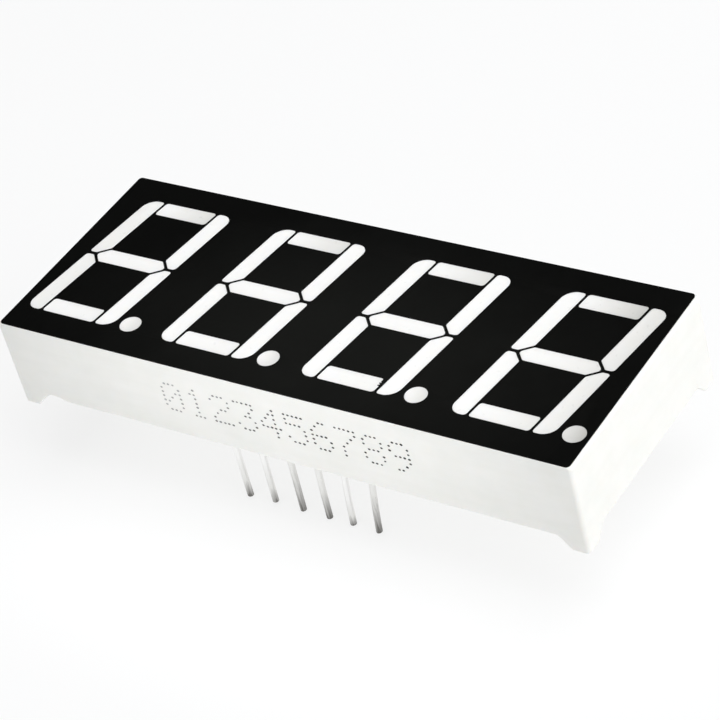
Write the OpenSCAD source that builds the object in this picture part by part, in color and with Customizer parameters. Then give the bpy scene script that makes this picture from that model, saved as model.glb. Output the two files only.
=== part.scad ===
// Four-digit seven segment display module with 14.2 mm digits and two rows of six pins.
// Millimetres. X runs along the row of digits, Y runs up the digits, and Z points out of the face.
// The origin is the centre of the pin pattern, on the plane that the corner feet stand on.

/* [Housing] */
// Gap left at each end, so that modules can stand end to end with their digits evenly spaced
end_gap = 0.25; // [0:0.05:0.4]
// Width of the housing, up the digits
body_w = 19; // [18.6:0.1:24]
// Height of the housing, from its feet to its front face
body_h = 8; // [6.6:0.1:12]
// Thickness of the outer wall round the back pocket
wall = 0.9; // [0.6:0.05:1.1]
// Radius of the four upright edges
corner_r = 0.3; // [0.1:0.05:0.6]
// How far the corner feet stand below the rim of the wall
foot_h = 1.1; // [0.6:0.1:1.4]
// Length of each foot along its wall, at the bottom
foot_l = 1.35; // [1:0.05:2]
// Length over which a foot slopes up to the rim
foot_slope = 1; // [0.4:0.1:2]

/* [Face] */
// Edge break round the short ends of the face, which the black coat stops at
end_break = 0.25; // [0.05:0.05:0.3]
// Edge break along the long sides of the face
side_break = 0.1; // [0.05:0.05:0.2]
// Thickness of the black coat
mask_t = 0.1; // [0.05:0.01:0.2]

/* [Digits] */
// Distance from one digit to the next, which also sets the length of the housing
digit_pitch = 12.7; // [11:0.1:15.3]
// Height of a digit over its outer edges
digit_h = 14.2; // [11.5:0.1:15]
// Width of a digit over its outer edges
digit_w = 8.3; // [7:0.1:8.6]
// Lean of the digits to the right, in degrees
slant = 7.6; // [0:0.1:10]
// Width of the upright strokes
stroke_w = 1.5; // [1.2:0.05:1.8]
// Width of the level strokes
stroke_h = 1.5; // [1.2:0.05:1.8]
// Black gap between neighbouring windows
window_gap = 0.22; // [0.15:0.01:0.4]
// Black gap between the upper and lower upright windows
waist_gap = 0.29; // [0.2:0.01:0.5]
// Radius of the digit's rounded outer corners
outer_r = 1; // [0.4:0.05:1.2]
// Radius of the windows' other corners
window_r = 0.25; // [0.1:0.01:0.3]
// Length of each pointed end of the middle window
tip_run = 0.8; // [0.6:0.05:1]
// Distance from those points to the centre lines of the upright strokes
tip_inset = 0.08; // [0:0.01:0.2]
// Radius of a point's window
point_r = 0.85; // [0.6:0.05:1]
// Centre of the point to the right of the digit's centre, on the slanted axis
point_u = 5.5; // [5.3:0.05:5.7]
// Centre of the point above the digit's baseline
point_v = 0.75; // [0.6:0.05:1.2]

/* [Board] */
// Thickness of the circuit board
board_t = 1; // [0.6:0.1:1.6]
// Height of the board's LED side above the feet
board_top = 3.6; // [3.2:0.1:4.4]
// Gap between the board's edge and the wall, filled with resin
board_gap = 0.15; // [0.05:0.05:0.3]
// Depth of the copper, which lies flush in both faces of the board
copper_t = 0.035; // [0.02:0.005:0.1]
// Width of the copper tracks
track_w = 0.25; // [0.15:0.05:0.3]
// Radius of a plated via
via_r = 0.15; // [0.1:0.01:0.18]
// Diameter of a round copper pad
pad_w = 0.4; // [0.36:0.02:0.44]

/* [Lights] */
// Side of an LED die
die_w = 0.3; // [0.2:0.05:0.35]
// Height of an LED die
die_h = 0.2; // [0.1:0.05:0.3]
// Diameter of a bond wire
wire_d = 0.05; // [0.03:0.01:0.08]
// Distance from a die to its wire pad
wire_span = 0.9; // [0.7:0.05:1]
// Distance from a point's die to its wire pad
point_wire_span = 0.55; // [0.5:0.05:0.6]
// Size of a cell at the board, as a share of its window
cell_taper = 0.75; // [0.7:0.01:0.95]

/* [Pins] */
// Distance from one pin to the next along a row
pin_pitch = 2.54; // [2:0.01:3]
// Distance between the two rows of pins
row_gap = 15.24; // [14.6:0.01:15.4]
// Diameter of a pin
pin_d = 0.5; // [0.4:0.01:0.6]
// Length of a pin below the feet
pin_drop = 6; // [3:0.1:8]
// Bevel at the tip of a pin
tip_bevel = 0.06; // [0.02:0.01:0.1]
// Side of the square shank that is soldered into the board
shank_w = 0.44; // [0.36:0.01:0.46]
// Solder round the shank, between it and the edge of its hole
solder_gap = 0.12; // [0.1:0.01:0.2]
// Radius of the copper ring round a pin
ring_r = 0.6; // [0.5:0.05:0.65]
// Height of a solder fillet on the shank
solder_h = 0.8; // [0.4:0.1:0.9]
// Depth of the resin face inside the rim of the wall
resin_inset = 0.1; // [0.05:0.05:0.3]

/* [Hidden] */
$fn = 48;
digits = 4;
row_pins = 6;
arc_steps = 3;           // straight pieces in a small rounded corner
outer_steps = 8;         // straight pieces in a digit's outer corner
over = 0.5;              // how far a cutting shape runs past what it cuts
lights = ["segment_a", "segment_b", "segment_c", "segment_d",
          "segment_e", "segment_f", "segment_g", "point"];
top = 0;                 // places of three of the lights in that list
bottom = 3;
point = 7;
copper = [0.80, 0.52, 0.30];

body_l = digits * digit_pitch - 2 * end_gap;
mask_l = body_l - 2 * end_break;
mask_w = body_w - 2 * side_break;
digit_r = digit_w / 2;
digit_top = digit_h / 2;
moulding_top = body_h - mask_t;
pocket_l = body_l - 2 * wall;
pocket_w = body_w - 2 * wall;
board_l = pocket_l - 2 * board_gap;
board_w = pocket_w - 2 * board_gap;
board_bottom = board_top - board_t;
resin_face = foot_h + resin_inset;
hole_r = shank_w / sqrt(2) + solder_gap;
cell_h = body_h - board_top;

// ---- Places ----

// A digit's own point (u, v) leans with the digit.
function lean(p) = [p[0] + p[1] * tan(slant), p[1]];

function digit_x(d) = (d - (digits + 1) / 2) * digit_pitch;

// The first row runs left to right along the front, the second right to left along the back.
function pin_at(p) = p <= row_pins
    ? [(p - (row_pins + 1) / 2) * pin_pitch, -row_gap / 2]
    : [((3 * row_pins + 1) / 2 - p) * pin_pitch, row_gap / 2];

// Centre of each light in the digit's own (u, v), which is where its cell narrows to.
level_v = digit_top - stroke_h / 2;
upright_u = digit_r - stroke_w / 2;
upright_v = (digit_top + waist_gap / 2) / 2;
centres = [
    [0, level_v],
    [upright_u, upright_v],
    [upright_u, -upright_v],
    [0, -level_v],
    [-upright_u, -upright_v],
    [-upright_u, upright_v],
    [0, 0],
    [point_u, point_v - digit_top]
];

// Direction from each die to its wire pad, chosen so that no two pads of a digit share a level.
wire_angles = [0, 90, 90, 162, -90, -90, 0, -90];

function span(i) = i == point ? point_wire_span : wire_span;
function die_place(i) = centres[i] + (i == point ? [0, point_wire_span / 2] : [0, 0]);
function die_at(i) = lean(die_place(i));
function pad_at(i) = lean(die_place(i) + span(i) * [cos(wire_angles[i]), sin(wire_angles[i])]);

// ---- Window outlines ----

function unit(v) = v / norm(v);

// Points along the rounded corner at p, between its neighbours a and b.
function corner(a, p, b, r, steps) =
    let (to_a = unit(a - p), to_b = unit(b - p),
         half = acos(to_a * to_b) / 2,
         centre = p + unit(to_a + to_b) * r / sin(half),
         from = p + to_a * r / tan(half) - centre,
         till = p + to_b * r / tan(half) - centre,
         start = atan2(from[1], from[0]),
         turn = (atan2(till[1], till[0]) - start + 540) % 360 - 180)
    [for (i = [0:steps]) centre + r * [cos(start + turn * i / steps), sin(start + turn * i / steps)]];

function rounded(points, radii) =
    let (n = len(points))
    [for (i = [0:n - 1])
        each corner(points[(i + n - 1) % n], points[i], points[(i + 1) % n], radii[i],
                    radii[i] > window_r ? outer_steps : arc_steps)];

// A mirrored outline is read backwards, so that every outline runs anticlockwise.
function flip(points, fu, fv) =
    let (n = len(points), flipped = [for (p = points) [p[0] * fu, p[1] * fv]])
    fu * fv > 0 ? flipped : [for (i = [n - 1:-1:0]) flipped[i]];

// The middle window is a bar with pointed ends.
bar_tip = digit_r - stroke_w / 2 - tip_inset;
bar_shoulder = bar_tip - tip_run;

middle = rounded(
    [[-bar_tip, 0], [-bar_shoulder, -stroke_h / 2], [bar_shoulder, -stroke_h / 2],
     [bar_tip, 0], [bar_shoulder, stroke_h / 2], [-bar_shoulder, stroke_h / 2]],
    [for (i = [0:5]) window_r]);

// The top window is a bar between the uprights.
bar_end = digit_r - stroke_w - window_gap;

top_bar = rounded(
    [[-bar_end, digit_top - stroke_h], [bar_end, digit_top - stroke_h],
     [bar_end, digit_top], [-bar_end, digit_top]],
    [for (i = [0:3]) window_r]);

// The upper right window is cut off at its foot along the middle window's slope.
slope = stroke_h / 2 / tip_run;
slope_tip = bar_tip + window_gap * norm([1, 1 / slope]);
function slope_v(u) = (slope_tip - u) * slope;
function slope_u(v) = slope_tip - v / slope;

upright = rounded(
    [[digit_r, waist_gap / 2], [digit_r, digit_top], [digit_r - stroke_w, digit_top],
     [digit_r - stroke_w, slope_v(digit_r - stroke_w)], [slope_u(waist_gap / 2), waist_gap / 2]],
    [window_r, outer_r, window_r, window_r, window_r]);

outlines = [
    top_bar,
    upright,
    flip(upright, 1, -1),
    flip(top_bar, 1, -1),
    flip(upright, -1, -1),
    flip(upright, -1, 1),
    middle
];

// ---- Shared shapes ----

module rounded_rectangle(l, w, r) {
    union() {
        square([l - 2 * r, w], center = true);
        square([l, w - 2 * r], center = true);
        for (x = [-1, 1], y = [-1, 1])
            translate([x * (l / 2 - r), y * (w / 2 - r)]) circle(r);
    }
}

// Size of a cell at height z, as a share of its window on the face.
function taper_at(z) = 1 - (1 - cell_taper) * (body_h - z) / cell_h;

// One light's cell from height low to height high, narrowing towards its centre at the board.
module cell(i, low, high) {
    c = lean(centres[i]);
    if (i == point) {
        translate([c[0], c[1], low])
            cylinder(r1 = point_r * taper_at(low), r2 = point_r * taper_at(high), h = high - low);
    } else {
        outline = [for (p = outlines[i]) lean(p)];
        n = len(outline);
        polyhedron(
            points = [for (z = [low, high], p = outline)
                [c[0] + (p[0] - c[0]) * taper_at(z), c[1] + (p[1] - c[1]) * taper_at(z), z]],
            faces = concat(
                [[for (j = [0:n - 1]) j], [for (j = [n - 1:-1:0]) j + n]],
                [for (j = [0:n - 1]) [j, j + n, (j + 1) % n + n]],
                [for (j = [0:n - 1]) [j, (j + 1) % n + n, (j + 1) % n]]));
    }
}

// A straight copper track with round ends.
module track(from, till) {
    run = till - from;
    union() {
        translate(from) rotate(atan2(run[1], run[0])) translate([0, -track_w / 2])
            square([norm(run), track_w]);
        translate(from) circle(d = track_w);
        translate(till) circle(d = track_w);
    }
}

module at_digits() {
    for (d = [1:digits]) translate([digit_x(d), 0]) children();
}

module at_pins() {
    for (p = [1:2 * row_pins]) translate(pin_at(p)) children();
}

module pin_rings() {
    at_pins() difference() {
        circle(ring_r);
        circle(hole_r);
    }
}

// ---- Housing and face ----

// Takes the corner off one straight top edge that runs along X.
module edge_break(length, inset) {
    side = inset * sqrt(2);
    rotate([45, 0, 0]) cube([length + 2 * over, side, side], center = true);
}

// The opening under a wall between its two feet, along X.
module rim_relief(length, width) {
    low = length / 2 - foot_l;
    high = low - foot_slope;
    grow = foot_slope * over / foot_h;
    translate([0, width / 2, 0]) rotate([90, 0, 0]) linear_extrude(width)
        polygon([[-low - grow, -over], [low + grow, -over], [high, foot_h], [-high, foot_h]]);
}

module reflector_housing() {
    color([0.93, 0.93, 0.91]) difference() {
        linear_extrude(moulding_top) rounded_rectangle(body_l, body_w, corner_r);
        for (side = [-1, 1]) {
            translate([0, side * body_w / 2, moulding_top])
                edge_break(body_l, side_break);
            translate([side * body_l / 2, 0, moulding_top]) rotate(90)
                edge_break(body_w, end_break);
        }
        translate([-pocket_l / 2, -pocket_w / 2, -over])
            cube([pocket_l, pocket_w, board_top + over]);
        rim_relief(body_l, body_w + 2 * over);
        rotate(90) rim_relief(body_w, body_l + 2 * over);
        at_digits() for (i = [0:len(lights) - 1]) cell(i, board_top - over, body_h);
    }
}

module face_mask() {
    color([0.07, 0.07, 0.08]) translate([0, 0, moulding_top]) linear_extrude(mask_t) difference() {
        rounded_rectangle(mask_l, mask_w, corner_r);
        at_digits() {
            for (outline = outlines) polygon([for (p = outline) lean(p)]);
            translate(lean(centres[point])) circle(point_r);
        }
    }
}

// ---- Board and copper ----

module board_blank() {
    translate([-board_l / 2, -board_w / 2, board_bottom]) cube([board_l, board_w, board_t]);
}

// Each digit's common run joins its eight dies, and each light has its own wire pad.
module die_side_pattern() {
    at_digits() {
        for (i = [0:len(lights) - 1]) {
            translate(die_at(i)) circle(d = pad_w);
            translate(pad_at(i)) circle(d = pad_w);
        }
        track(die_at(top), die_at(bottom));
        for (side = [-1, 1])
            track(lean([-upright_u, side * upright_v]), lean([upright_u, side * upright_v]));
        track(lean([0, die_at(point)[1]]), die_at(point));
    }
}

// One bus per light runs under all the digits.
module pin_side_pattern() {
    for (i = [0:len(lights) - 1]) {
        at = pad_at(i);
        track([digit_x(1) + at[0], at[1]], [digit_x(digits) + at[0], at[1]]);
    }
    pin_rings();
}

module via_holes(r) {
    at_digits() for (i = [0:len(lights) - 1]) translate(pad_at(i)) circle(r);
}

module die_side_copper() {
    color(copper) translate([0, 0, board_top - copper_t]) linear_extrude(copper_t)
        union() {
            die_side_pattern();
            pin_rings();
        }
}

// The buses, the pin rings and the plated vias up to the wire pads.
module pin_side_copper() {
    color(copper) union() {
        translate([0, 0, board_bottom]) linear_extrude(copper_t) pin_side_pattern();
        translate([0, 0, board_bottom]) linear_extrude(board_t - copper_t) via_holes(via_r);
    }
}

module circuit_board() {
    color([0.86, 0.84, 0.72]) difference() {
        board_blank();
        translate([0, 0, board_top - copper_t]) linear_extrude(over) union() {
            die_side_pattern();
            pin_rings();
        }
        translate([0, 0, board_bottom - over]) linear_extrude(copper_t + over)
            pin_side_pattern();
        translate([0, 0, board_bottom - over]) linear_extrude(board_t + 2 * over) {
            via_holes(via_r);
            at_pins() circle(hole_r);
        }
    }
}

// ---- Lights ----

module die(i) {
    at = die_at(i);
    translate([at[0] - die_w / 2, at[1] - die_w / 2, board_top]) cube([die_w, die_w, die_h]);
}

// A half ring that stands on the board, from inside the die to the wire pad.
module wire_arch(i) {
    from = die_at(i);
    run = pad_at(i) - from;
    radius = norm(run) / 2;
    translate([from[0] + run[0] / 2, from[1] + run[1] / 2, board_top])
        rotate([90, 0, atan2(run[1], run[0])])
            rotate_extrude(angle = 180) translate([radius, 0]) circle(d = wire_d, $fn = 16);
}

module led_dies(d) {
    color([0.72, 0.70, 0.45]) translate([digit_x(d), 0, 0])
        for (i = [0:len(lights) - 1]) die(i);
}

module bond_wires(d) {
    color([0.85, 0.68, 0.25]) translate([digit_x(d), 0, 0])
        for (i = [0:len(lights) - 1]) difference() {
            wire_arch(i);
            die(i);
        }
}

// The resin in one reflector cell, cast round its die and bond wire.
module light_fill(d, i) {
    color([0.96, 0.96, 0.95]) translate([digit_x(d), 0, 0]) difference() {
        cell(i, board_top, body_h);
        die(i);
        wire_arch(i);
    }
}

// ---- Pins and back resin ----

module shank() {
    translate([-shank_w / 2, -shank_w / 2, resin_face])
        cube([shank_w, shank_w, board_top - resin_face]);
}

// A round wire whose shank is coined square where it is soldered into the board.
module pin(p) {
    radius = pin_d / 2;
    color([0.78, 0.78, 0.76]) translate(pin_at(p)) union() {
        shank();
        translate([0, 0, -pin_drop]) rotate_extrude()
            polygon([[0, 0], [radius - tip_bevel, 0], [radius, tip_bevel],
                     [radius, pin_drop + resin_face], [0, pin_drop + resin_face]]);
    }
}

// A fillet under the board that runs up through the pin's hole.
module solder_blank() {
    rotate_extrude() polygon([
        [0, board_bottom - solder_h], [shank_w / sqrt(2) + 0.02, board_bottom - solder_h],
        [ring_r, board_bottom], [hole_r, board_bottom], [hole_r, board_top], [0, board_top]]);
}

module solder_joints() {
    color([0.66, 0.67, 0.68]) at_pins() difference() {
        solder_blank();
        shank();
    }
}

module back_resin() {
    color([0.93, 0.93, 0.89]) difference() {
        translate([-pocket_l / 2, -pocket_w / 2, resin_face])
            cube([pocket_l, pocket_w, board_top - resin_face]);
        board_blank();
        at_pins() {
            solder_blank();
            shank();
        }
    }
}

reflector_housing();
face_mask();
circuit_board();
die_side_copper();
pin_side_copper();
solder_joints();
back_resin();
for (d = [1:digits], i = [0:len(lights) - 1])
    light_fill(d, i);
for (d = [1:digits]) led_dies(d);
for (d = [1:digits]) bond_wires(d);
for (p = [1:2 * row_pins]) pin(p);
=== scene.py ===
# Looks of the four-digit display module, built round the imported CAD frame.
# Lengths are in millimetres until build(), and in metres for the floor, lights and camera.
import math

import bmesh
import bpy
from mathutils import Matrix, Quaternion, Vector, noise
from mathutils.geometry import delaunay_2d_cdt


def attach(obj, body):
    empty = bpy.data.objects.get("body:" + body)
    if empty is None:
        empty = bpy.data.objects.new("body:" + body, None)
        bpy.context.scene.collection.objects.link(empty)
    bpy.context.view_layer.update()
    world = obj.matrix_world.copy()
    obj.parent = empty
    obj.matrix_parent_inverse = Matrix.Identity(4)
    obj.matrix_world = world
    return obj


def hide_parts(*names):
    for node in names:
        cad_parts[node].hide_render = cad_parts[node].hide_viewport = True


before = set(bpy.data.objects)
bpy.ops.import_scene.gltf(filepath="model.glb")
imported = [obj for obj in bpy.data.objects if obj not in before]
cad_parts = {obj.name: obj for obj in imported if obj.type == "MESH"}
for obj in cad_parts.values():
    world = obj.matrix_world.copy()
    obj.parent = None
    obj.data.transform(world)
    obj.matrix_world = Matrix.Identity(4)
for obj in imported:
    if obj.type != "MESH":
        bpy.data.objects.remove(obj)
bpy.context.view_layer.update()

MM = 0.001

# ---- Sizes, as in the part's source ----

BODY_L, BODY_W, BODY_H = 50.3, 19.0, 8.0
WALL, CORNER_R = 0.9, 0.3
FOOT_H, FOOT_L, FOOT_SLOPE = 1.1, 1.35, 1.0
END_BREAK, SIDE_BREAK, COAT_T = 0.25, 0.1, 0.1
DIGIT_PITCH, DIGIT_H, DIGIT_W = 12.7, 14.2, 8.3
SLANT = math.tan(math.radians(7.6))
STROKE_W, STROKE_H = 1.5, 1.5
WINDOW_GAP, WAIST_GAP = 0.22, 0.29
OUTER_R, WINDOW_R = 1.0, 0.25
TIP_RUN, TIP_INSET = 0.8, 0.08
POINT_R, POINT_U, POINT_V = 0.85, 5.5, 0.75
BOARD_TOP, BOARD_T, BOARD_GAP = 3.6, 1.0, 0.15
CELL_TAPER = 0.75
DIE_W, DIE_H = 0.3, 0.2
PIN_PITCH, ROW_GAP, PIN_D, PIN_DROP = 2.54, 15.24, 0.5, 6.0
SHANK_W, RING_R, SOLDER_H = 0.44, 0.6, 0.8
RESIN_FACE = 1.2

DIGITS, ROW_PINS = range(1, 5), 6
PINS = range(1, 2 * ROW_PINS + 1)
MOULDING_TOP = BODY_H - COAT_T
BOARD_BOTTOM = BOARD_TOP - BOARD_T
DIGIT_R, DIGIT_TOP = DIGIT_W / 2, DIGIT_H / 2
UPRIGHT_U = DIGIT_R - STROKE_W / 2
UPRIGHT_V = (DIGIT_TOP + WAIST_GAP / 2) / 2
LEVEL_V = DIGIT_TOP - STROKE_H / 2
LIGHTS = ["segment_" + letter for letter in "abcdefg"] + ["point"]
CENTRES = [
    (0, LEVEL_V), (UPRIGHT_U, UPRIGHT_V), (UPRIGHT_U, -UPRIGHT_V), (0, -LEVEL_V),
    (-UPRIGHT_U, -UPRIGHT_V), (-UPRIGHT_U, UPRIGHT_V), (0, 0), (POINT_U, POINT_V - DIGIT_TOP),
]
LEFT_UPRIGHTS, POINT = (4, 5), 7
POINT_DIE_SHIFT = 0.275


def lean(p):
    """A digit's own point (u, v), leant with the digit."""
    return Vector((p[0] + p[1] * SLANT, p[1]))


def digit_x(d):
    return (d - (len(DIGITS) + 1) / 2) * DIGIT_PITCH


def pin_at(p):
    """Pins 1 to 6 stand along the front from the left, and 7 to 12 along the back from the right."""
    middle = (ROW_PINS + 1) / 2
    if p <= ROW_PINS:
        return Vector(((p - middle) * PIN_PITCH, -ROW_GAP / 2))
    return Vector(((ROW_PINS + middle - p) * PIN_PITCH, ROW_GAP / 2))


def clamp(value):
    return max(0.0, min(1.0, value))


def circle(sides, turn=0.0):
    """Unit steps (cos, sin) round a circle, the first one turned by a share of a side."""
    return [(math.cos(a), math.sin(a)) for a in (2 * math.pi * (k + turn) / sides for k in range(sides))]


def wobble(*seed):
    """A steady number from about -1 to 1. Whole seeds are moved off the places where the noise is zero."""
    return noise.noise(Vector([s * 7.31 + 0.37 for s in seed] + [0.5] * (3 - len(seed)))) * 1.6


# ---- Flat outlines ----

WIDE_STEPS, TIGHT_STEPS, POINT_SIDES = 12, 6, 48


def corner(a, p, b, radius, steps):
    """Points along the rounded corner at p, between its neighbours a and b."""
    a, p, b = Vector(a), Vector(p), Vector(b)
    to_a, to_b = (a - p).normalized(), (b - p).normalized()
    half = math.acos(max(-1, min(1, to_a.dot(to_b)))) / 2
    centre = p + (to_a + to_b).normalized() * (radius / math.sin(half))
    start = p + to_a * (radius / math.tan(half)) - centre
    end = p + to_b * (radius / math.tan(half)) - centre
    first = math.atan2(start.y, start.x)
    turn = (math.atan2(end.y, end.x) - first + 3 * math.pi) % (2 * math.pi) - math.pi
    return [
        centre + radius * Vector((math.cos(first + turn * i / steps), math.sin(first + turn * i / steps)))
        for i in range(steps + 1)
    ]


def rounded(points, radii):
    """A closed outline whose corners are rounded, each by its own radius."""
    n, made = len(points), []
    for i, p in enumerate(points):
        steps = WIDE_STEPS if radii[i] > WINDOW_R else TIGHT_STEPS
        made += corner(points[i - 1], p, points[(i + 1) % n], radii[i], steps)
    return made


def flip(points, fu, fv):
    """A mirrored outline, still anticlockwise."""
    flipped = [Vector((p.x * fu, p.y * fv)) for p in points]
    return flipped if fu * fv > 0 else flipped[::-1]


def offset(points, by):
    """An anticlockwise outline moved outwards."""
    n, made = len(points), []
    for i, p in enumerate(points):
        e, f = (p - points[i - 1]).normalized(), (points[(i + 1) % n] - p).normalized()
        a, b = Vector((e.y, -e.x)), Vector((f.y, -f.x))
        made.append(p + (a + b) * (by / max(0.5, 1 + a.dot(b))))
    return made


BAR_TIP = DIGIT_R - STROKE_W / 2 - TIP_INSET
BAR_SHOULDER = BAR_TIP - TIP_RUN
BAR_END = DIGIT_R - STROKE_W - WINDOW_GAP
SLOPE = STROKE_H / 2 / TIP_RUN
SLOPE_TIP = BAR_TIP + WINDOW_GAP * math.hypot(1, 1 / SLOPE)

MIDDLE = rounded(
    [(-BAR_TIP, 0), (-BAR_SHOULDER, -STROKE_H / 2), (BAR_SHOULDER, -STROKE_H / 2),
     (BAR_TIP, 0), (BAR_SHOULDER, STROKE_H / 2), (-BAR_SHOULDER, STROKE_H / 2)],
    [WINDOW_R] * 6)
TOP_BAR = rounded(
    [(-BAR_END, DIGIT_TOP - STROKE_H), (BAR_END, DIGIT_TOP - STROKE_H),
     (BAR_END, DIGIT_TOP), (-BAR_END, DIGIT_TOP)],
    [WINDOW_R] * 4)
UPRIGHT = rounded(
    [(DIGIT_R, WAIST_GAP / 2), (DIGIT_R, DIGIT_TOP), (DIGIT_R - STROKE_W, DIGIT_TOP),
     (DIGIT_R - STROKE_W, (SLOPE_TIP - DIGIT_R + STROKE_W) * SLOPE),
     (SLOPE_TIP - WAIST_GAP / 2 / SLOPE, WAIST_GAP / 2)],
    [WINDOW_R, OUTER_R, WINDOW_R, WINDOW_R, WINDOW_R])
DISC = [Vector((POINT_U + POINT_R * u, POINT_V - DIGIT_TOP + POINT_R * v)) for u, v in circle(POINT_SIDES)]
OUTLINES = [
    TOP_BAR, UPRIGHT, flip(UPRIGHT, 1, -1), flip(TOP_BAR, 1, -1),
    flip(UPRIGHT, -1, -1), flip(UPRIGHT, -1, 1), MIDDLE, DISC,
]

# The photographed face has one ragged end, on the third digit's lower bar. Its teeth take the place of
# the outline's points beyond (RAGGED_U, RAGGED_V), as places on the digit.
RAGGED_U, RAGGED_V = 2.2, -6.5
TEETH = [
    (2.43, -6.44), (2.41, -6.40), (2.26, -6.36), (2.25, -6.30), (2.38, -6.25), (2.37, -6.17),
    (2.23, -6.13), (2.22, -6.07), (2.35, -6.02), (2.34, -5.95), (2.26, -5.91), (2.25, -5.85),
    (2.29, -5.81), (2.25, -5.68),
]
# How far the last point's cell keeps from the pocket's end wall.
END_CELL_GAP = 0.05


def is_ragged(d, i):
    return d == 3 and LIGHTS[i] == "segment_d"


def window(d, i, flawed=False):
    """A light's window on the face, with its ragged end where flawed is true."""
    if i == POINT:
        c = lean(CENTRES[i])
        points = [c + p - Vector(CENTRES[i]) for p in DISC]
    elif flawed and is_ragged(d, i):
        kept = [p for p in OUTLINES[i] if not (p.x > RAGGED_U and p.y > RAGGED_V)]
        at = max(k for k, p in enumerate(kept) if p.x > RAGGED_U)
        points = [lean(p) for p in kept[:at + 1] + [Vector(t) for t in TEETH] + kept[at + 1:]]
    else:
        points = [lean(p) for p in OUTLINES[i]]
    return [Vector((digit_x(d) + p.x, p.y)) for p in points]


def taper(z):
    """The share of its window's size that a cell has at height z."""
    return 1 - (1 - CELL_TAPER) * (BODY_H - z) / (BODY_H - BOARD_TOP)


def in_cell(points, d, i, z):
    """A window's outline drawn in towards its light, as the cell narrows to the board."""
    c = lean(CENTRES[i]) + Vector((digit_x(d), 0))
    made = [c + (p - c) * taper(z) for p in points]
    if z > BOARD_TOP:
        return made
    # At the board, the last point's cell would foul the pocket's end wall.
    return [Vector((min(p.x, BODY_L / 2 - WALL - END_CELL_GAP), p.y)) for p in made]


# ---- Meshes ----

# The triangles that a cap keeps: those inside its outlines, with holes. Points nearer than CLOSE are one.
INSIDE_WITH_HOLES, CLOSE = 2, 1e-7


class Shape:
    """The points and faces of one piece."""

    def __init__(self):
        self.points, self.faces = [], []

    def ring(self, points, z):
        """Adds a closed row of points. z is a height, or a function of the place (x, y)."""
        first = len(self.points)
        self.points += [(p[0], p[1], z(p[0], p[1]) if callable(z) else z) for p in points]
        return list(range(first, len(self.points)))

    def row(self, points):
        """Adds a closed row of points that have their own heights."""
        first = len(self.points)
        self.points += [tuple(p) for p in points]
        return list(range(first, len(self.points)))

    def bridge(self, *rings):
        """Adds a wall from each ring to the next."""
        for a, b in zip(rings, rings[1:]):
            n = len(a)
            self.faces += [(a[k], a[(k + 1) % n], b[(k + 1) % n], b[k]) for k in range(n)]

    def fan(self, ring, tip):
        """Closes a ring with one point at its middle."""
        self.points.append(tuple(tip))
        top, n = len(self.points) - 1, len(ring)
        self.faces += [(ring[k], ring[(k + 1) % n], top) for k in range(n)]

    def cap(self, loops, free=(), z=None):
        """Fills the area inside the first loop and outside the others, through the free points too."""
        ids = [k for loop in loops for k in loop]
        places = [Vector(self.points[k][:2]) for k in ids]
        outlines, first = [], 0
        for loop in loops:
            outlines.append(tuple(range(first, first + len(loop))))
            first += len(loop)
        if free:
            ids += self.ring(free, z)
            places += [Vector(p) for p in free]
        _, _, triangles, sources, _, _ = delaunay_2d_cdt(places, [], outlines, INSIDE_WITH_HOLES, CLOSE)
        self.faces += [tuple(ids[sources[k][0]] for k in t) for t in triangles]


def build(shape, name, material, nodes=(), sharp=35):
    """Makes the piece, in metres, and sets it in the CAD frame. Edges above sharp degrees stay sharp."""
    mesh = bpy.data.meshes.new(name)
    mesh.from_pydata([(x * MM, y * MM, z * MM) for x, y, z in shape.points], [], shape.faces)
    bm = bmesh.new()
    bm.from_mesh(mesh)
    bmesh.ops.recalc_face_normals(bm, faces=bm.faces)
    bm.to_mesh(mesh)
    bm.free()
    mesh.shade_smooth()
    mesh.set_sharp_from_angle(angle=math.radians(sharp))
    mesh.materials.append(material)
    piece = bpy.data.objects.new(name, mesh)
    bpy.context.scene.collection.objects.link(piece)
    weighted = piece.modifiers.new("normals", "WEIGHTED_NORMAL")
    weighted.keep_sharp = True
    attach(piece, "root")
    if nodes:
        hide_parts(*nodes)
    return piece


def attribute(piece, name, values):
    """Gives each point of a piece a value that its material reads."""
    layer = piece.data.attributes.new(name, "FLOAT", "POINT")
    layer.data.foreach_set("value", values)


# ---- Materials ----

# Most of a noise's values lie between these.
NOISE_LOW, NOISE_HIGH = 0.3, 0.7
# A mix node's two colours and its result, as places in its lists of sockets.
MIX_A, MIX_B, MIX_RESULT = 6, 7, 2


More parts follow.
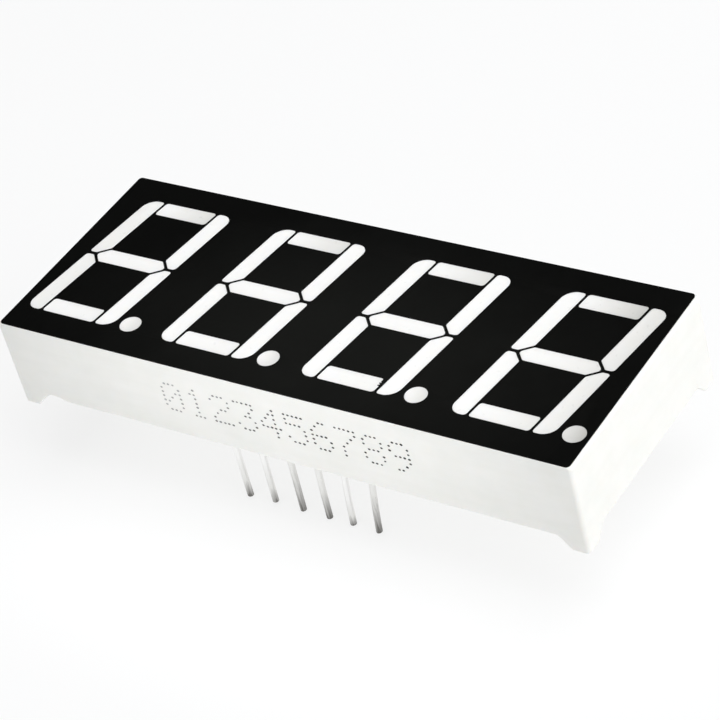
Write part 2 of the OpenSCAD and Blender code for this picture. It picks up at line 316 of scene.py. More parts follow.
class Finish:
    """A material that is worked out from the place on the piece, in millimetres."""

    def __init__(self, name, **sockets):
        self.material = bpy.data.materials.new(name)
        self.material.use_nodes = True
        self.tree = self.material.node_tree
        self.shader = self.tree.nodes["Principled BSDF"]
        for socket, value in sockets.items():
            self.shader.inputs[socket.replace("_", " ")].default_value = value
        place = self.add("ShaderNodeTexCoord").outputs["Object"]
        self.place = self.scaled(place, (1 / MM, 1 / MM, 1 / MM))
        self.normal = None

    def add(self, kind, **settings):
        node = self.tree.nodes.new(kind)
        for key, value in settings.items():
            setattr(node, key, value)
        return node

    def feed(self, node, socket, value):
        if isinstance(value, bpy.types.NodeSocket):
            self.tree.links.new(value, node.inputs[socket])
        else:
            node.inputs[socket].default_value = value

    def scaled(self, vector, scale):
        node = self.add("ShaderNodeMapping")
        self.feed(node, "Vector", vector)
        node.inputs["Scale"].default_value = scale
        return node.outputs["Vector"]

    def noise(self, scale, detail=3.0, roughness=0.5, stretch=None):
        """Cloudy noise, with scale features to the millimetre."""
        node = self.add("ShaderNodeTexNoise")
        self.feed(node, "Vector", self.scaled(self.place, stretch) if stretch else self.place)
        for socket, value in (("Scale", scale), ("Detail", detail), ("Roughness", roughness)):
            node.inputs[socket].default_value = value
        return node.outputs["Fac"]

    def cells(self, scale):
        node = self.add("ShaderNodeTexVoronoi")
        self.feed(node, "Vector", self.place)
        node.inputs["Scale"].default_value = scale
        return node.outputs["Distance"]

    def axis(self, letter):
        node = self.add("ShaderNodeSeparateXYZ")
        self.feed(node, "Vector", self.place)
        return node.outputs[letter]

    def spread(self, value, low, high, to_low=0.0, to_high=1.0):
        node = self.add("ShaderNodeMapRange")
        for socket, v in (("Value", value), ("From Min", low), ("From Max", high),
                          ("To Min", to_low), ("To Max", to_high)):
            self.feed(node, socket, v)
        return node.outputs["Result"]

    def vary(self, value, low, high):
        """Noise spread from low to high."""
        return self.spread(value, NOISE_LOW, NOISE_HIGH, low, high)

    def blend(self, value, dark, light):
        """Noise as a mix of two colours."""
        return self.ramp(value, (NOISE_LOW, dark), (NOISE_HIGH, light))

    def maths(self, operation, a, b):
        node = self.add("ShaderNodeMath", operation=operation)
        self.feed(node, 0, a)
        self.feed(node, 1, b)
        return node.outputs["Value"]

    def ramp(self, value, *stops):
        node = self.add("ShaderNodeValToRGB")
        self.feed(node, "Fac", value)
        elements = node.color_ramp.elements
        while len(elements) < len(stops):
            elements.new(0.5)
        for element, (at, colour) in zip(elements, stops):
            element.position, element.color = at, (*colour, 1)
        return node.outputs["Color"]

    def tint(self, colour, by, share):
        """Colour multiplied by another, as far as share."""
        node = self.add("ShaderNodeMix", data_type="RGBA", blend_type="MULTIPLY")
        self.feed(node, "Factor", share)
        self.tree.links.new(colour, node.inputs[MIX_A])
        self.tree.links.new(by, node.inputs[MIX_B])
        return node.outputs[MIX_RESULT]

    def bump(self, height, distance):
        """Height in millimetres, on top of any bump before it."""
        node = self.add("ShaderNodeBump")
        self.feed(node, "Height", height)
        node.inputs["Distance"].default_value = distance * MM
        node.inputs["Strength"].default_value = 1.0
        if self.normal is not None:
            self.feed(node, "Normal", self.normal)
        self.normal = node.outputs["Normal"]

    def done(self, colour, roughness):
        self.feed(self.shader, "Base Color", colour)
        self.feed(self.shader, "Roughness", roughness)
        if self.normal is not None:
            self.feed(self.shader, "Normal", self.normal)
        return self.material


def white_moulding():
    f = Finish("white_moulding", Subsurface_Weight=0.25, Subsurface_Scale=MM,
               Subsurface_Radius=(0.5, 0.42, 0.35), Specular_IOR_Level=0.4)
    cloud = f.noise(0.35, 4.0, 0.55)
    colour = f.blend(cloud, (0.845, 0.85, 0.82), (0.885, 0.885, 0.862))
    flow = f.noise(1.0, 2.0, 0.5, (0.12, 0.12, 1.2))
    colour = f.tint(colour, f.ramp(flow, (0.35, (0.975, 0.975, 0.97)), (0.65, (1, 1, 1))), 0.6)
    f.bump(f.noise(0.5, 2.0), 0.012)
    f.bump(f.noise(9.0, 3.0, 0.6), 0.006)
    return f.done(colour, f.vary(f.noise(3.0, 4.0, 0.6), 0.38, 0.52))


# With the face stretched by COAT_STRETCH, the coat has painted light: it is palest within the first radius of
# the middle given here and darkest beyond the second radius, so there is painted shade towards the face's
# ends.
COAT_STRETCH, PAINTED_LIGHT_MIDDLE, PAINTED_LIGHT_R, PAINTED_SHADE_R = (1, 1.6, 0), (2, -6, 0), 6.0, 24.0


def black_print_painted_light():
    """Matt black print, with painted light making it paler over the middle of the face than at its ends, and
    a little random cloud in the ink.
    """
    f = Finish("black_print_painted_light", Specular_IOR_Level=0.07)
    far = f.add("ShaderNodeVectorMath", operation="DISTANCE")
    f.feed(far, 0, f.scaled(f.place, COAT_STRETCH))
    far.inputs[1].default_value = PAINTED_LIGHT_MIDDLE
    # Painted light: the coat is paler towards the middle of the face, with painted shade towards its ends.
    middle = f.spread(far.outputs["Value"], PAINTED_LIGHT_R, PAINTED_SHADE_R, 1.0, 0.0)
    cloud = f.maths("ADD", middle, f.vary(f.noise(0.22, 4.0, 0.6), -0.12, 0.12))
    colour = f.ramp(cloud, (0.0, (0.0010, 0.0011, 0.0009)), (1.0, (0.0064, 0.0067, 0.0060)))
    f.bump(f.noise(0.7, 2.0), 0.006)
    f.bump(f.noise(14.0, 2.0, 0.6), 0.004)
    return f.done(colour, f.vary(f.noise(1.2, 5.0, 0.65), 0.46, 0.6))


def milky_resin():
    """White resin, with painted shade where its shade attribute is below 1."""
    f = Finish("milky_window_resin", Subsurface_Weight=0.35, Subsurface_Scale=MM,
               Subsurface_Radius=(0.45, 0.42, 0.37), Specular_IOR_Level=0.4)
    cloud = f.noise(1.1, 4.0, 0.55)
    colour = f.blend(cloud, (0.975, 0.975, 0.957), (0.99, 0.99, 0.976))
    painted_shade_tone = f.add("ShaderNodeAttribute", attribute_name="painted_shade_tone").outputs["Fac"]
    # Painted shade: the resin is darkened towards this grey where the shade attribute is low.
    colour = f.tint(colour, f.ramp(painted_shade_tone, (0.0, (0.30, 0.295, 0.27)), (1.0, (1, 1, 1))), 1.0)
    f.bump(f.noise(0.9, 2.0), 0.004)
    f.bump(f.noise(11.0, 2.0, 0.6), 0.0015)
    return f.done(colour, f.vary(f.noise(2.0, 3.0, 0.6), 0.26, 0.4))


def cast_resin():
    f = Finish("cast_back_resin", Subsurface_Weight=0.6, Subsurface_Scale=MM,
               Subsurface_Radius=(1.1, 1.0, 0.7), Specular_IOR_Level=0.5)
    speck, speck_edge = 0.03, 0.09
    cloud = f.noise(0.18, 4.0, 0.55)
    colour = f.blend(cloud, (0.80, 0.80, 0.735), (0.86, 0.86, 0.81))
    specks = f.ramp(f.cells(1.3), (speck, (0.86, 0.86, 0.82)), (speck_edge, (1, 1, 1)))
    colour = f.tint(colour, specks, 0.5)
    f.bump(f.noise(0.25, 2.0), 0.02)
    f.bump(f.spread(f.cells(1.3), speck, speck_edge), 0.01)
    return f.done(colour, f.vary(f.noise(0.8, 4.0, 0.6), 0.12, 0.26))


# The places along X where the sprayed ink is thinnest and fullest.
INK_LEFT, INK_RIGHT = -10.5, 11.5
# The heights between which the pins' painted reflection turns from dark to bright.
DARK_REFLECTION_Z, BRIGHT_REFLECTION_Z = -6.0, 1.2


def print_ink():
    """Sprayed dots, full at the right end of the line and thin at the left."""
    f = Finish("sprayed_ink", Specular_IOR_Level=0.3)
    along = f.spread(f.axis("X"), INK_LEFT, INK_RIGHT)
    full = f.maths("ADD", along, f.vary(f.noise(3.0, 2.0), -0.12, 0.12))
    colour = f.ramp(full, (0.0, (0.42, 0.42, 0.42)), (0.45, (0.07, 0.07, 0.07)),
                    (1.0, (0.008, 0.008, 0.0075)))
    return f.done(colour, f.vary(f.noise(6.0, 2.0), 0.5, 0.7))


def tinned_wire_painted_reflection():
    """Tin with a painted reflection, bright at the body and dark towards the cut end; the dark reaches
    further up where the pin's attribute is higher.
    """
    f = Finish("tinned_wire_painted_reflection", Metallic=1.0)
    dark_reflection_reach = f.add("ShaderNodeAttribute", attribute_name="dark_reflection_reach").outputs["Fac"]
    up = f.maths("DIVIDE", f.spread(f.axis("Z"), DARK_REFLECTION_Z, BRIGHT_REFLECTION_Z), dark_reflection_reach)
    streaks = f.noise(6.0, 4.0, 0.6, (1.0, 1.0, 0.06))
    reflection_level = f.maths("ADD", up, f.vary(streaks, -0.10, 0.10))
    # Painted reflection: dark towards the cut end, bright towards the body.
    colour = f.ramp(reflection_level, (0.0, (0.16, 0.155, 0.145)), (0.08, (0.34, 0.335, 0.325)),
                    (0.4, (0.80, 0.80, 0.78)), (1.0, (0.93, 0.93, 0.92)))
    f.bump(streaks, 0.006)
    f.bump(f.noise(5.0, 3.0), 0.006)
    return f.done(colour, f.vary(f.noise(4.0, 4.0, 0.6, (1.0, 1.0, 0.2)), 0.26, 0.44))


def metal(name, dark, light, scale, rough):
    f = Finish(name, Metallic=1.0)
    colour = f.blend(f.noise(scale, 4.0, 0.6), dark, light)
    f.bump(f.noise(scale * 2, 2.0), 0.004)
    return f.done(colour, f.vary(f.noise(scale, 2.0), *rough))


def board_laminate():
    f = Finish("board_laminate", Specular_IOR_Level=0.5)
    warp = f.noise(4.0, 1.0, 0.4, (1.0, 0.15, 1.0))
    weft = f.noise(4.0, 1.0, 0.4, (0.15, 1.0, 1.0))
    weave = f.maths("MULTIPLY", warp, weft)
    colour = f.ramp(weave, (0.12, (0.66, 0.62, 0.42)), (0.4, (0.78, 0.75, 0.58)))
    f.bump(weave, 0.01)
    return f.done(colour, f.vary(f.noise(2.0), 0.4, 0.55))


def die_crystal():
    f = Finish("led_crystal", Specular_IOR_Level=0.8)
    colour = f.blend(f.noise(5.0, 2.0), (0.42, 0.40, 0.16), (0.60, 0.56, 0.26))
    return f.done(colour, f.vary(f.noise(8.0), 0.15, 0.3))


MOULDING, COAT = white_moulding(), black_print_painted_light()
WINDOW_RESIN, BACK_RESIN = milky_resin(), cast_resin()
INK, WIRE = print_ink(), tinned_wire_painted_reflection()

# ---- White moulding ----

# Radii of each foot's two bends, of the back pocket's corners, and of the rim's inner and outer edges.
FOOT_TOE_R, FOOT_ROOT_R, POCKET_R, RIM_IN_R, RIM_OUT_R = 0.18, 0.45, 0.1, 0.09, 0.11
# How far the mould's draft draws the outer wall in, the height where it starts, and its run.
DRAFT, DRAFT_FROM, DRAFT_RUN = 0.024, 1.25, 6.5
# Heights of the rings that carry the outer wall and the housing's cells between their ends.
WALL_RINGS, CELL_RING = (3.0, 5.5), 5.8
# Steps round one bend: of a foot's outline, and of a ring's corner.
BEND = 6


def foot_stops(half):
    """(place along a wall, height of its rim there) at the bends of both feet, from one end to the other."""
    low = half - FOOT_L
    high = low - FOOT_SLOPE
    path = [Vector((half, 0)), Vector((low, 0)), Vector((high, FOOT_H)), Vector((0, FOOT_H))]
    side = corner(*path[:3], FOOT_TOE_R, BEND) + corner(*path[1:], FOOT_ROOT_R, BEND)
    return [(-p.x, p.y) for p in side] + [(p.x, p.y) for p in side[::-1]]


END_STOPS, LONG_STOPS = foot_stops(BODY_W / 2), foot_stops(BODY_L / 2)
# The front rim is nicked beside its left foot: (place along the wall, how far up the nick goes).
NICK = [(-22.45, 0.10), (-22.2, 0.26), (-21.7, 0.3), (-21.2, 0.24), (-20.9, 0.06), (-20.6, 0.0)]
HALF_WAY = len(LONG_STOPS) // 2
FRONT_STOPS = LONG_STOPS[:HALF_WAY] + [(s, FOOT_H + up) for s, up in NICK] + LONG_STOPS[HALF_WAY:]
# In the order that a ring is drawn: right end, back, left end, front.
STOPS = [END_STOPS, LONG_STOPS[::-1], END_STOPS[::-1], FRONT_STOPS]


def perimeter(half_l, half_w, radius):
    """A rounded rectangle, drawn anticlockwise through the stops, so that rings of any size match."""
    made = []
    for k, stops in enumerate(STOPS):
        sx, sy = ((1, 1), (-1, 1), (-1, -1), (1, -1))[k]
        made += [Vector((sx * half_l, s) if k % 2 == 0 else (s, sy * half_w)) for s, _ in stops]
        centre = Vector((sx * (half_l - radius), sy * (half_w - radius)))
        for i in range(BEND + 1):
            a = math.radians(90 * k + 90 * i / BEND)
            made.append(centre + radius * Vector((math.cos(a), math.sin(a))))
    return made


# Height of the rim at each point of the perimeter.
RIM = [up for stops in STOPS for up in [z for _, z in stops] + [0.0] * (BEND + 1)]


def breaks():
    """How deep the top edge is broken at each point of the perimeter: more round the ends than the sides."""
    made = []
    for k, stops in enumerate(STOPS):
        here, after = (END_BREAK, SIDE_BREAK) if k % 2 == 0 else (SIDE_BREAK, END_BREAK)
        made += [here] * len(stops) + [here + (after - here) * i / BEND for i in range(BEND + 1)]
    return made


def wall_inset(z):
    """The mould's draft: the outer wall stands this far inside the CAD box."""
    return DRAFT * clamp((z - DRAFT_FROM) / DRAFT_RUN)


def arc(steps=4):
    """Points on a quarter fillet: how far across each lies, and how far it has still to go, as shares."""
    return [(1 - math.cos(a), 1 - math.sin(a)) for a in (math.pi / 2 * i / steps for i in range(steps + 1))]


def white_housing():
    s = Shape()
    half_l, half_w = BODY_L / 2, BODY_W / 2
    inner_l, inner_w = half_l - WALL, half_w - WALL

    def rim_ring(length, width, radius, up):
        at = perimeter(length, width, radius)
        return s.row([(p.x, p.y, z + up) for p, z in zip(at, RIM)])

    ceiling = s.ring(perimeter(inner_l, inner_w, POCKET_R), BOARD_TOP)
    rim_in, rim_out = [], []
    for a, b in arc():
        out = RIM_IN_R * a
        rim_in.append(rim_ring(inner_l + out, inner_w + out, POCKET_R + out, RIM_IN_R * b))
    for a, b in arc():
        inset = RIM_OUT_R * b
        rim_out.append(rim_ring(half_l - inset, half_w - inset, CORNER_R - inset, RIM_OUT_R * a))
    top_w = wall_inset(MOULDING_TOP)
    depth = breaks()
    shoulder = []
    for a, b in arc(5):
        length = half_l - top_w - (END_BREAK - top_w) * a
        width = half_w - top_w - (SIDE_BREAK - top_w) * a
        at = perimeter(length, width, CORNER_R)
        shoulder.append(s.row([(p.x, p.y, MOULDING_TOP - d * b) for p, d in zip(at, depth)]))
    wall = []
    for z in WALL_RINGS:
        inset = wall_inset(z)
        wall.append(s.ring(perimeter(half_l - inset, half_w - inset, CORNER_R), z))
    s.bridge(ceiling, *rim_in, *rim_out, *wall, *shoulder)
    upper, lower = [], []
    for d in DIGITS:
        for i in range(len(LIGHTS)):
            at = window(d, i)
            rings = [s.ring(in_cell(at, d, i, z), z) for z in (MOULDING_TOP, CELL_RING, BOARD_TOP)]
            s.bridge(*rings)
            upper.append(rings[0])
            lower.append(rings[-1])
    s.cap([shoulder[-1]] + upper)
    s.cap([ceiling] + lower)
    build(s, "white_housing_moulding", MOULDING, ["reflector_housing"])


white_housing()

# ---- Printed face ----

# Radius of the coat's edges, and of its ragged edge.
COAT_EDGE, RAGGED_EDGE = 0.03, 0.008


def printed_face():
    s = Shape()

    def edge_rings(at, radius, way, steps):
        """A wall up to the coat's top, eased over its edge outwards (way 1) or inwards (way -1)."""
        return [s.ring(at, MOULDING_TOP)] + [
            s.ring(offset(at, way * radius * a), BODY_H - radius * b) for a, b in arc(steps)]

    edge = perimeter(BODY_L / 2 - END_BREAK, BODY_W / 2 - SIDE_BREAK, CORNER_R)
    outer = edge_rings(edge, COAT_EDGE, -1, 4)
    s.bridge(*outer)
    tops, feet = [], []
    for d in DIGITS:
        for i in range(len(LIGHTS)):
            radius = RAGGED_EDGE if is_ragged(d, i) else COAT_EDGE
            rings = edge_rings(window(d, i, flawed=True), radius, 1, 3)
            s.bridge(*rings)
            feet.append(rings[0])
            tops.append(rings[-1])
    s.cap([outer[-1]] + tops)
    s.cap([outer[0]] + feet)
    build(s, "printed_black_face", COAT, ["face_mask"])


printed_face()

# ---- Window resin ----

# How far the fill's middle lies below its edge, how much that varies from cell to cell, and how far
# in from the window's edge the fall ends.
SINK, SINK_VARIES, SINK_RUN = 0.02, 0.006, 0.45
# The fill's edge lies EDGE_BELOW the coat's top, and its face ripples by RIPPLE.
EDGE_BELOW, RIPPLE, RIPPLE_SCALE = 0.006, 0.002, 0.2
# The fill's face starts EDGE_RUN in from its window, or RAGGED_RUN in from the ragged one, and meets
# the cell's wall EDGE_DROP down.
EDGE_RUN, RAGGED_RUN, EDGE_DROP = 0.02, 0.006, 0.026
# Heights of the rings down the cell's wall.
FILL_RINGS = (MOULDING_TOP, 6.5, 5.0, BOARD_TOP)
# Spacing of the face's points, and how far they keep from the window's edge.
FACE_STEP, FACE_MARGIN = 0.17, 0.09


def gap_to(loop, p):
    """Distance from p to a closed outline, below zero outside it."""
    best, inside, n = 1e9, False, len(loop)
    for k in range(n):
        a, b = loop[k - 1], loop[k]
        ab, ap = b - a, p - a
        t = clamp(ap.dot(ab) / max(ab.length_squared, 1e-12))
        best = min(best, (ap - ab * t).length)
        if (a.y > p.y) != (b.y > p.y) and p.x < a.x + (p.y - a.y) / (b.y - a.y) * ab.x:
            inside = not inside
    return best if inside else -best


def filled_window(d, i):
    """The resin in one cell, sunk a hair at its middle, with a hollow for its die below."""
    s = Shape()
    at = window(d, i, flawed=True)
    sink = SINK + SINK_VARIES * wobble(d, i)

    def face_z(x, y):
        away = clamp(gap_to(at, Vector((x, y))) / SINK_RUN)
        ripple = RIPPLE * wobble(x * RIPPLE_SCALE, y * RIPPLE_SCALE, d)
        return BODY_H - EDGE_BELOW - sink * away * away * (3 - 2 * away) + ripple

    run = RAGGED_RUN if is_ragged(d, i) else EDGE_RUN
    rings = [s.ring(offset(at, -run), face_z), s.ring(at, BODY_H - EDGE_DROP)]
    rings += [s.ring(in_cell(at, d, i, z), z) for z in FILL_RINGS]
    s.bridge(*rings)
    u, v = CENTRES[i]
    die = lean((u, v + (POINT_DIE_SHIFT if i == POINT else 0))) + Vector((digit_x(d), 0))
    square = [die + Vector((x, y)) * DIE_W / 2 for x, y in ((-1, -1), (1, -1), (1, 1), (-1, 1))]
    hollow = [s.ring(square, z) for z in (BOARD_TOP, BOARD_TOP + DIE_H)]
    s.bridge(*hollow)
    s.faces.append(tuple(hollow[1]))
    s.cap([rings[-1], hollow[0]])
    free = []
    lows = [min(p[k] for p in at) for k in (0, 1)]
    highs = [max(p[k] for p in at) for k in (0, 1)]
    for row in range(int((highs[1] - lows[1]) / FACE_STEP) + 1):
        y = lows[1] + FACE_STEP * (row + 0.5)
        for col in range(int((highs[0] - lows[0]) / FACE_STEP) + 1):
            p = Vector((lows[0] + FACE_STEP * (col + 0.5 * (row % 2) + 0.25), y))
            if gap_to(at, p) > FACE_MARGIN:
                free.append(p)
    s.cap([rings[0]], free, face_z)
    name = f"digit_{d}_{LIGHTS[i]}"
    piece = build(s, name + "_resin", WINDOW_RESIN, [name])
    # Each point gets its painted shade, worked out below.
    attribute(piece, "painted_shade_tone", [painted_shade_tone(d, i, x) for x, _, _ in s.points])


# How much painted shade darkens each level bar from its left end to its right, BAR_RUN away.
BAR_FALLS, BAR_RUN = {0: 0.34, 3: 0.10, 6: 0.04}, 5.0
# The painted shade on a point at its left, and how much more at its right.
POINT_LOSS, POINT_FALL = 0.06, 0.26
# The painted shade on the left uprights of the first digit, from LEFT_X over LEFT_RUN.
LEFT_FALL, LEFT_X, LEFT_RUN = 0.14, -20.0, 2.0
# The painted shade on every light towards the right end, from RIGHT_X over RIGHT_RUN.
RIGHT_FALL, RIGHT_X, RIGHT_RUN, RIGHT_CURVE = 0.4, 10.0, 15.0, 2.7


def painted_shade_tone(d, i, x):
    """The painted shade on a cell, as the share of its colour kept: it falls off along level bars and points,
    and towards both ends.
    """
    from_centre = x - (lean(CENTRES[i]) + Vector((digit_x(d), 0))).x
    painted_shade = 0.0
    if i in BAR_FALLS:
        painted_shade = BAR_FALLS[i] * (0.5 + from_centre / BAR_RUN)
    elif i == POINT:
        painted_shade = POINT_LOSS + POINT_FALL * (0.5 + from_centre / (2 * POINT_R))
    elif i in LEFT_UPRIGHTS:
        painted_shade = LEFT_FALL * clamp((LEFT_X - x) / LEFT_RUN)
    painted_shade += RIGHT_FALL * max(0.0, (x - RIGHT_X) / RIGHT_RUN) ** RIGHT_CURVE
    return max(0.0, 1.0 - painted_shade)


for digit in DIGITS:
    for light in range(len(LIGHTS)):
        filled_window(digit, light)

# ---- Sprayed numerals ----

NUMERALS = {
    "0": "01110 10001 10011 10101 11001 10001 01110",
    "1": "00100 01100 00100 00100 00100 00100 01110",
    "2": "01110 10001 00001 00110 01000 10000 11111",
    "3": "11111 00001 00010 00110 00001 10001 01110",
    "4": "00010 00110 01010 10010 11111 00010 00010",
    "5": "11111 10000 11110 00001 00001 10001 01110",
    "6": "00110 01000 10000 11110 10001 10001 01110",
    "7": "11111 00001 00010 00100 01000 01000 01000",
    "8": "01110 10001 10001 01110 10001 10001 01110",
    "9": "01110 10001 10001 01111 00001 00010 01100",
}

# Place of the first numeral's top left dot, and the distance between numerals.
NUMERALS_X, NUMERALS_Z, NUMERAL_PITCH = -10.0, 6.05, 2.23
# Distance between the dots, across and down, and how far they scatter.
DOT_ACROSS, DOT_DOWN, DOT_SCATTER = 0.385, 0.425, 0.025
# A dot's radius, its share of variation, and its shape across and down.
DOT_R, DOT_VARIES, DOT_WIDE, DOT_TALL = 0.102, 0.14, 1.12, 0.88
# A dot's rings, as (share of its radius, how far the ring stands out of the wall), the first one inside
# the wall, and how far its crown stands out.
DOT_RINGS, DOT_CROWN, DOT_SIDES = [(0.9, -0.004), (1, 0.0005), (0.93, 0.003), (0.6, 0.0045)], 0.005, 14


def sprayed_numerals():
    s = Shape()
    for k, rows in enumerate(NUMERALS[n].split() for n in "0123456789"):
        for r, row in enumerate(rows):
            for c, dot in enumerate(row):
                if dot != "1":
                    continue
                x = NUMERALS_X + NUMERAL_PITCH * k + DOT_ACROSS * c + DOT_SCATTER * wobble(k, r, c)
                z = NUMERALS_Z - DOT_DOWN * r + DOT_SCATTER * wobble(c, k, r)
                size = DOT_R * (1 + DOT_VARIES * wobble(r, c, k))
                wall = -BODY_W / 2 + wall_inset(z)
                rings = []
                for share, out in DOT_RINGS:
                    radius = size * share
                    rings.append(s.row([
                        (x + radius * u * DOT_WIDE, wall - out, z + radius * v * DOT_TALL)
                        for u, v in circle(DOT_SIDES)
                    ]))
                s.bridge(*rings)
                s.fan(rings[-1], (x, wall - DOT_CROWN, z))
                s.fan(rings[0], (x, wall - DOT_RINGS[0][1], z))
    build(s, "sprayed_numerals", INK, sharp=60)


sprayed_numerals()

# ---- Pins ----

# How far up each pin's painted dark reflection reaches, beside a pin of 1.
DARK_REFLECTION_HEIGHTS = [0.6, 0.6, 1.5, 1.0, 0.4, 1.4, 0.7, 1.0, 0.5, 1.2, 0.8, 0.6]
# How far each pin's tip leans from its place along X and Y, and how far it stands short of PIN_DROP.
LEANS = [
    (-0.20, 0.05, 0.0), (-0.30, 0.0, 0.2), (-0.35, 0.05, 0.0), (-0.45, 0.0, 0.05), (-0.90, 0.05, 0.0),
    (-1.10, 0.0, 0.0), (-0.55, -0.1, 0.05), (-0.35, 0.0, 0.0), (-0.40, -0.05, 0.1), (-0.25, 0.05, 0.0),
    (-0.15, 0.0, 0.05), (-0.30, -0.05, 0.0),
]
# The height where the lean starts, how much it curves, and how far a pin bows sideways.
LEAN_TOP, LEAN_CURVE, BOW = 1.8, 0.35, 0.04
# Heights of the rings that turn the square shank round, with how square each one is.
SHANK_RINGS = [(BOARD_TOP, 1.0), (1.9, 1.0), (1.7, 1.0), (1.55, 0.5), (1.4, 0.0)]
# The round part starts at ROUND_TOP and ends TIP_RISE above the tip.
ROUND_TOP, TIP_RISE, ROUND_STEPS, PIN_SIDES = 1.25, 0.12, 22, 24
# The cut end's rings, as (height above the tip, share of the radius), and how far its middle is sunk.
TIP_RINGS, TIP_DENT = [(0.06, 1.0), (0.03, 0.985), (0.012, 0.94), (0.002, 0.86), (0.0, 0.76)], 0.004
# About the greatest slope of a cut end, and how uneven a pin's surface is, as a share of its radius.
CUT_SLOPE, PIN_UNEVEN, UNEVEN_SCALE = 0.12, 0.008, 0.6


def pin_centre(p, z):
    """The middle of a pin at height z: straight in its solder, then leaning and a little bowed to its tip."""
    x, y = pin_at(p)
    lean_x, lean_y, _ = LEANS[p - 1]
    down = max(0.0, (LEAN_TOP - z) / (LEAN_TOP + PIN_DROP))
    share = down * (1 + LEAN_CURVE * (1 - down))
    bow = BOW * wobble(p, 3) * math.sin(math.pi * min(1.0, down))
    return Vector((x + lean_x * share + bow, y + lean_y * share))


def pin(p):
    s = Shape()
    radius, tip = PIN_D / 2, -PIN_DROP + LEANS[p - 1][2]

    def section(z, size=1.0, squareness=0.0, skew=0.0):
        """A ring round the pin, its height rising along X by skew."""
        c = pin_centre(p, z)
        made = []
        for u, v in circle(PIN_SIDES, 0.5):
            square = SHANK_W / 2 / max(abs(u), abs(v))
            r = radius * (1 - squareness) + square * squareness
            r *= size * (1 + PIN_UNEVEN * wobble(u, v, z * UNEVEN_SCALE + p))
            made.append((c.x + u * r, c.y + v * r, z + skew * u * r))
        return s.row(made)

    cut = CUT_SLOPE * wobble(p, 1)
    rows = [section(z, squareness=q) for z, q in SHANK_RINGS]
    length = tip + TIP_RISE - ROUND_TOP
    rows += [section(ROUND_TOP + length * k / ROUND_STEPS) for k in range(ROUND_STEPS + 1)]
    low = abs(cut) * radius
    rows += [section(tip + low + up, size, 0.0, cut) for up, size in TIP_RINGS]
    s.bridge(*rows)
    c = pin_centre(p, tip)
    s.fan(rows[-1], (c.x, c.y, tip + low + TIP_DENT))
    s.fan(rows[0], (*pin_centre(p, BOARD_TOP), BOARD_TOP))
    piece = build(s, f"tinned_pin_{p}", WIRE, [f"pin_{p}"], sharp=40)
    # How far up the painted dark reflection reaches on this pin.
    attribute(piece, "dark_reflection_reach", [DARK_REFLECTION_HEIGHTS[p - 1]] * len(s.points))


for number in PINS:
    pin(number)

# ---- Back resin ----

# How far the resin climbs at the walls and at the pins, and over what distance that dies away. Beyond
# PIN_CLIMB_END from a pin, its climb is left out.
WALL_CLIMB, WALL_CLIMB_RUN = 0.075, 0.22
PIN_CLIMB, PIN_CLIMB_RUN, PIN_CLIMB_END = 0.16, 0.14, 2
# How uneven the open surface is.
SURFACE_VARIES, SURFACE_SCALE = 0.012, 0.05
# Radius of the corners of the hollow that holds the board.
BOARD_R = 0.05
# Round each pin inside the resin: (height, radius) of the rings over its solder joint.
JOINT_RINGS, JOINT_SIDES = [(1.45, 0.252), (BOARD_BOTTOM - SOLDER_H, 0.335), (BOARD_BOTTOM, RING_R)], 32
# The surface's points: (radius, number) round each pin, and (distance in, spacing) along the walls.
PIN_GRID = [(0.29, 28), (0.34, 24), (0.42, 20), (0.55, 16), (0.75, 14)]
WALL_GRID = [(0.06, 0.5), (0.14, 0.5), (0.26, 0.6), (0.45, 0.7)]
# Spacing of the points between, and how far they keep from the walls and the pins.
OPEN_STEP, WALL_MARGIN, PIN_MARGIN = 0.8, 0.7, 1.0


